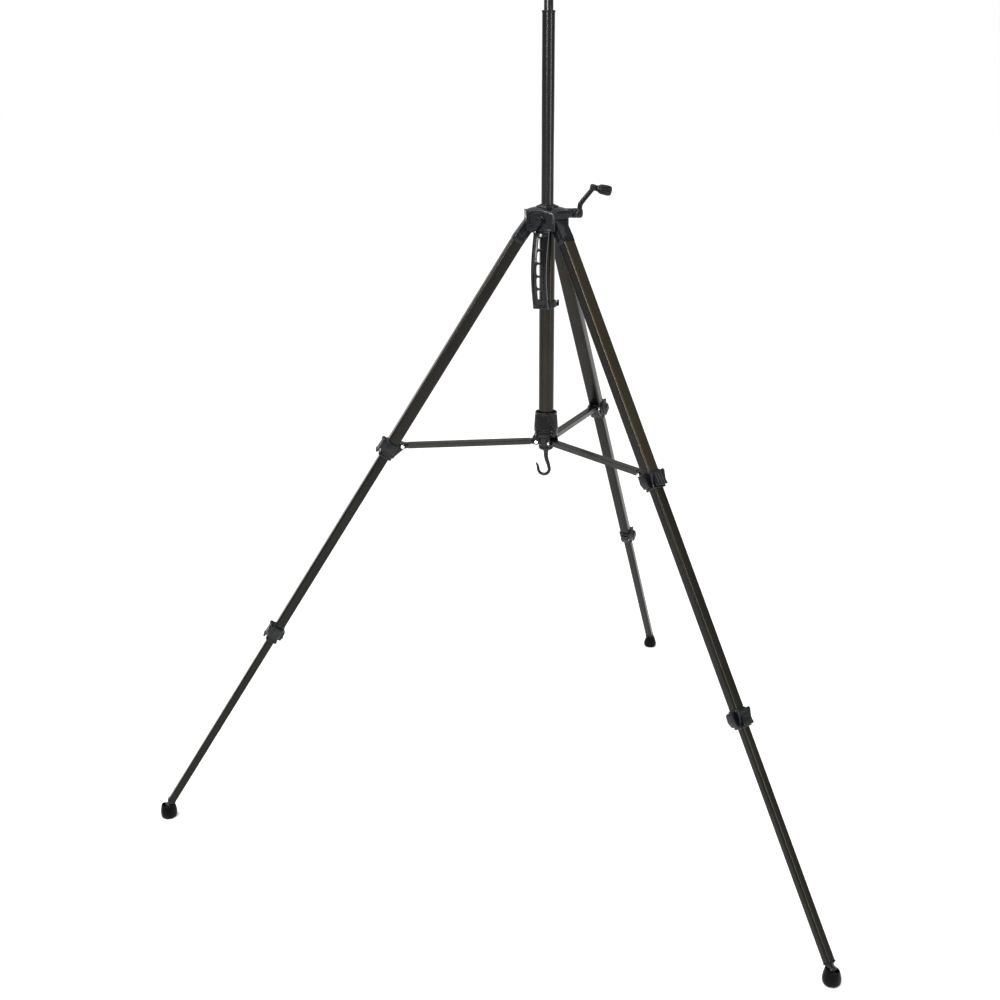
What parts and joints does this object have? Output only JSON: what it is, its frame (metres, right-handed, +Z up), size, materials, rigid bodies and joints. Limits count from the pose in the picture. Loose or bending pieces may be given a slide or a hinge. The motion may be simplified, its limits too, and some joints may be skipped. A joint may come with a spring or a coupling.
{
  "type": "field tripod",
  "caption": "Field tripod with telescoping legs, flip-lever clamps, a strut spreader on a sliding hub, a crank-geared centre column, a carrying handle and a weight hook.",
  "frame": {"origin": "on the floor, at the middle of the footprint's bounding box; the column's axis stands 185 mm in front of it, towards -Y", "axes": "+Z up along the column; +Y towards the back leg; the carrying handle faces -Y; the crank points to +X and +Y"},
  "size_m": [1.317, 1.1448, 1.603],
  "materials": {
    "anodised_tube": "dark gunmetal anodised, satin",
    "mast_gloss": "gloss black",
    "moulded_plastic": "soft satin black",
    "foot_rubber": "matt black",
    "strut_metal": "dark grey satin",
    "nickel": "bright nickel",
    "steel": "machined"
  },
  "bodies": {
    "frame": {"crown": "moulded_plastic", "guide_tube": "anodised_tube", "guide_end_cap": "moulded_plastic", "handle": "moulded_plastic", "handle_clip": "moulded_plastic", "hinge_pin_1": "steel", "hinge_pin_2": "steel", "hinge_pin_3": "steel"},
    "leg_1": {"upper_tube_1": "anodised_tube", "leg_head_1": "moulded_plastic", "upper_clamp_1": "moulded_plastic", "brace_outer_pin_1": "nickel"},
    "leg_1_middle": {"middle_tube_1": "anodised_tube", "lower_clamp_1": "moulded_plastic"},
    "leg_1_lower": {"lower_tube_1": "anodised_tube"},
    "leg_1_foot": {"foot_1": "foot_rubber"},
    "upper_flip_1": {"upper_lever_1": "moulded_plastic"},
    "lower_flip_1": {"lower_lever_1": "moulded_plastic"},
    "strut_1": {"brace_1": "strut_metal"},
    "strut_1_end": {"brace_end_1": "strut_metal"},
    "leg_2": {"upper_tube_2": "anodised_tube", "leg_head_2": "moulded_plastic", "upper_clamp_2": "moulded_plastic", "brace_outer_pin_2": "nickel"},
    "leg_2_middle": {"middle_tube_2": "anodised_tube", "lower_clamp_2": "moulded_plastic"},
    "leg_2_lower": {"lower_tube_2": "anodised_tube"},
    "leg_2_foot": {"foot_2": "foot_rubber"},
    "upper_flip_2": {"upper_lever_2": "moulded_plastic"},
    "lower_flip_2": {"lower_lever_2": "moulded_plastic"},
    "strut_2": {"brace_2": "strut_metal"},
    "strut_2_end": {"brace_end_2": "strut_metal"},
    "leg_3": {"upper_tube_3": "anodised_tube", "leg_head_3": "moulded_plastic", "upper_clamp_3": "moulded_plastic", "brace_outer_pin_3": "nickel"},
    "leg_3_middle": {"middle_tube_3": "anodised_tube", "lower_clamp_3": "moulded_plastic"},
    "leg_3_lower": {"lower_tube_3": "anodised_tube"},
    "leg_3_foot": {"foot_3": "foot_rubber"},
    "upper_flip_3": {"upper_lever_3": "moulded_plastic"},
    "lower_flip_3": {"lower_lever_3": "moulded_plastic"},
    "strut_3": {"brace_3": "strut_metal"},
    "strut_3_end": {"brace_end_3": "strut_metal"},
    "hub_carriage": {"hub": "moulded_plastic", "brace_inner_pin_1": "nickel", "brace_inner_pin_2": "nickel", "brace_inner_pin_3": "nickel"},
    "lock_nut": {"hub_nut": "moulded_plastic"},
    "hook_swivel": {"hook": "strut_metal"},
    "centre_column": {"column": "anodised_tube", "column_rack": "steel", "column_bush": "moulded_plastic"},
    "mast": {"inner_mast": "mast_gloss", "mast_plug": "moulded_plastic"},
    "crank": {"pinion_shaft": "steel", "crank_arm": "moulded_plastic"},
    "crank_grip": {"crank_knob": "moulded_plastic"},
    "column_lock": {"lock_knob": "moulded_plastic"}
  },
  "joints": [
    {"name": "leg_1_fold", "type": "hinge", "parent": "frame", "child": "leg_1", "pos_m": [-0.02771, -0.2014, 1.14], "axis": [0.5, -0.866, 0], "range_deg": [0, 31]},
    {"name": "leg_1_middle_slide", "type": "slide", "parent": "leg_1", "child": "leg_1_middle", "axis": [0.4628, 0.2672, 0.8453], "range_m": [0, 0.34]},
    {"name": "leg_1_lower_slide", "type": "slide", "parent": "leg_1_middle", "child": "leg_1_lower", "axis": [0.4628, 0.2672, 0.8453], "range_m": [0, 0.36]},
    {"name": "leg_1_foot_tilt", "type": "hinge", "parent": "leg_1_lower", "child": "leg_1_foot", "pos_m": [-0.64224, -0.5562, 0.0244], "axis": [0.5, -0.866, 0], "range_deg": [-33, 3]},
    {"name": "upper_lever_1_flip", "type": "hinge", "parent": "leg_1", "child": "upper_flip_1", "pos_m": [-0.26126, -0.33624, 0.74971], "axis": [-0.5, 0.866, 0], "range_deg": [0, 110]},
    {"name": "lower_lever_1_flip", "type": "hinge", "parent": "leg_1_middle", "child": "lower_flip_1", "pos_m": [-0.45423, -0.44765, 0.39369], "axis": [-0.5, 0.866, 0], "range_deg": [0, 110]},
    {"name": "leg_2_fold", "type": "hinge", "parent": "frame", "child": "leg_2", "pos_m": [0.02771, -0.2014, 1.14], "axis": [0.5, 0.866, 0], "range_deg": [0, 31.2]},
    {"name": "leg_2_middle_slide", "type": "slide", "parent": "leg_2", "child": "leg_2_middle", "axis": [-0.4628, 0.2672, 0.8453], "range_m": [0, 0.34]},
    {"name": "leg_2_lower_slide", "type": "slide", "parent": "leg_2_middle", "child": "leg_2_lower", "axis": [-0.4628, 0.2672, 0.8453], "range_m": [0, 0.36]},
    {"name": "leg_2_foot_tilt", "type": "hinge", "parent": "leg_2_lower", "child": "leg_2_foot", "pos_m": [0.64224, -0.5562, 0.0244], "axis": [0.5, 0.866, 0], "range_deg": [-33, 3]},
    {"name": "upper_lever_2_flip", "type": "hinge", "parent": "leg_2", "child": "upper_flip_2", "pos_m": [0.26126, -0.33624, 0.74971], "axis": [-0.5, -0.866, 0], "range_deg": [0, 110]},
    {"name": "lower_lever_2_flip", "type": "hinge", "parent": "leg_2_middle", "child": "lower_flip_2", "pos_m": [0.45423, -0.44765, 0.39369], "axis": [-0.5, -0.866, 0], "range_deg": [0, 110]},
    {"name": "leg_3_fold", "type": "hinge", "parent": "frame", "child": "leg_3", "pos_m": [0, -0.1534, 1.14], "axis": [-1, 0, 0], "range_deg": [0, 31.2]},
    {"name": "leg_3_middle_slide", "type": "slide", "parent": "leg_3", "child": "leg_3_middle", "axis": [0, -0.5344, 0.8453], "range_m": [0, 0.34]},
    {"name": "leg_3_lower_slide", "type": "slide", "parent": "leg_3_middle", "child": "leg_3_lower", "axis": [0, -0.5344, 0.8453], "range_m": [0, 0.36]},
    {"name": "leg_3_foot_tilt", "type": "hinge", "parent": "leg_3_lower", "child": "leg_3_foot", "pos_m": [0, 0.5562, 0.0244], "axis": [-1, 0, 0], "range_deg": [-33, 3]},
    {"name": "upper_lever_3_flip", "type": "hinge", "parent": "leg_3", "child": "upper_flip_3", "pos_m": [0, 0.11628, 0.74971], "axis": [1, 0, 0], "range_deg": [0, 110]},
    {"name": "lower_lever_3_flip", "type": "hinge", "parent": "leg_3_middle", "child": "lower_flip_3", "pos_m": [0, 0.3391, 0.39369], "axis": [1, 0, 0], "range_deg": [0, 110]},
    {"name": "hub_slide", "type": "slide", "parent": "frame", "child": "hub_carriage", "axis": [0, 0, 1], "range_m": [0, 0.1846]},
    {"name": "strut_1_swing", "type": "hinge", "parent": "hub_carriage", "child": "strut_1", "pos_m": [-0.01732, -0.1954, 0.73815], "axis": [0.5, -0.866, 0], "range_deg": [0, 88.6]},
    {"name": "strut_1_end_swing", "type": "hinge", "parent": "leg_1", "child": "strut_1_end", "pos_m": [-0.23245, -0.31961, 0.73815], "axis": [0.5, -0.866, 0], "range_deg": [0, 57.6]},
    {"name": "strut_2_swing", "type": "hinge", "parent": "hub_carriage", "child": "strut_2", "pos_m": [0.01732, -0.1954, 0.73815], "axis": [0.5, 0.866, 0], "range_deg": [0, 88.6]},
    {"name": "strut_2_end_swing", "type": "hinge", "parent": "leg_2", "child": "strut_2_end", "pos_m": [0.23245, -0.31961, 0.73815], "axis": [0.5, 0.866, 0], "range_deg": [0, 57.6]},
    {"name": "strut_3_swing", "type": "hinge", "parent": "hub_carriage", "child": "strut_3", "pos_m": [0, -0.1654, 0.73815], "axis": [-1, 0, 0], "range_deg": [0, 88.6]},
    {"name": "strut_3_end_swing", "type": "hinge", "parent": "leg_3", "child": "strut_3_end", "pos_m": [0, 0.08301, 0.73815], "axis": [-1, 0, 0], "range_deg": [0, 57.6]},
    {"name": "hub_nut_turn", "type": "hinge", "parent": "hub_carriage", "child": "lock_nut", "pos_m": [0, -0.1854, 0.776], "axis": [0, 0, 1], "range_deg": [0, 120]},
    {"name": "hook_turn", "type": "hinge", "parent": "frame", "child": "hook_swivel", "pos_m": [0, -0.1854, 0.73], "axis": [0, 0, 1], "continuous": true},
    {"name": "column_slide", "type": "slide", "parent": "frame", "child": "centre_column", "axis": [0, 0, 1], "range_m": [-0.3, 0]},
    {"name": "mast_slide", "type": "slide", "parent": "centre_column", "child": "mast", "axis": [0, 0, 1], "range_m": [-0.07, 0.16]},
    {"name": "crank_turn", "type": "hinge", "parent": "frame", "child": "crank", "pos_m": [0.03458, -0.14529, 1.157], "axis": [0.866, 0.5, 0], "range_deg": [0, 2900]},
    {"name": "crank_grip_spin", "type": "hinge", "parent": "crank", "child": "crank_grip", "pos_m": [0.07033, -0.12465, 1.20088], "axis": [0.8471, 0.4891, -0.2079], "continuous": true},
    {"name": "column_lock_turn", "type": "hinge", "parent": "frame", "child": "column_lock", "pos_m": [0, -0.2264, 1.149], "axis": [0, -1, 0], "range_deg": [-90, 90]}
  ],
  "couplings": [
    {"joint": "leg_2_fold", "follows": "leg_1_fold", "ratio": 1},
    {"joint": "leg_3_fold", "follows": "leg_1_fold", "ratio": 1},
    {"joint": "hub_slide", "follows": "leg_1_fold", "m_per_rad": 0.34008},
    {"joint": "strut_1_swing", "follows": "leg_1_fold", "ratio": 2.8468},
    {"joint": "strut_1_end_swing", "follows": "leg_1_fold", "ratio": 1.8468},
    {"joint": "strut_2_swing", "follows": "leg_1_fold", "ratio": 2.8468},
    {"joint": "strut_2_end_swing", "follows": "leg_1_fold", "ratio": 1.8468},
    {"joint": "strut_3_swing", "follows": "leg_1_fold", "ratio": 2.8468},
    {"joint": "strut_3_end_swing", "follows": "leg_1_fold", "ratio": 1.8468},
    {"joint": "crank_turn", "follows": "column_slide", "rad_per_m": -166.67}
  ]
}
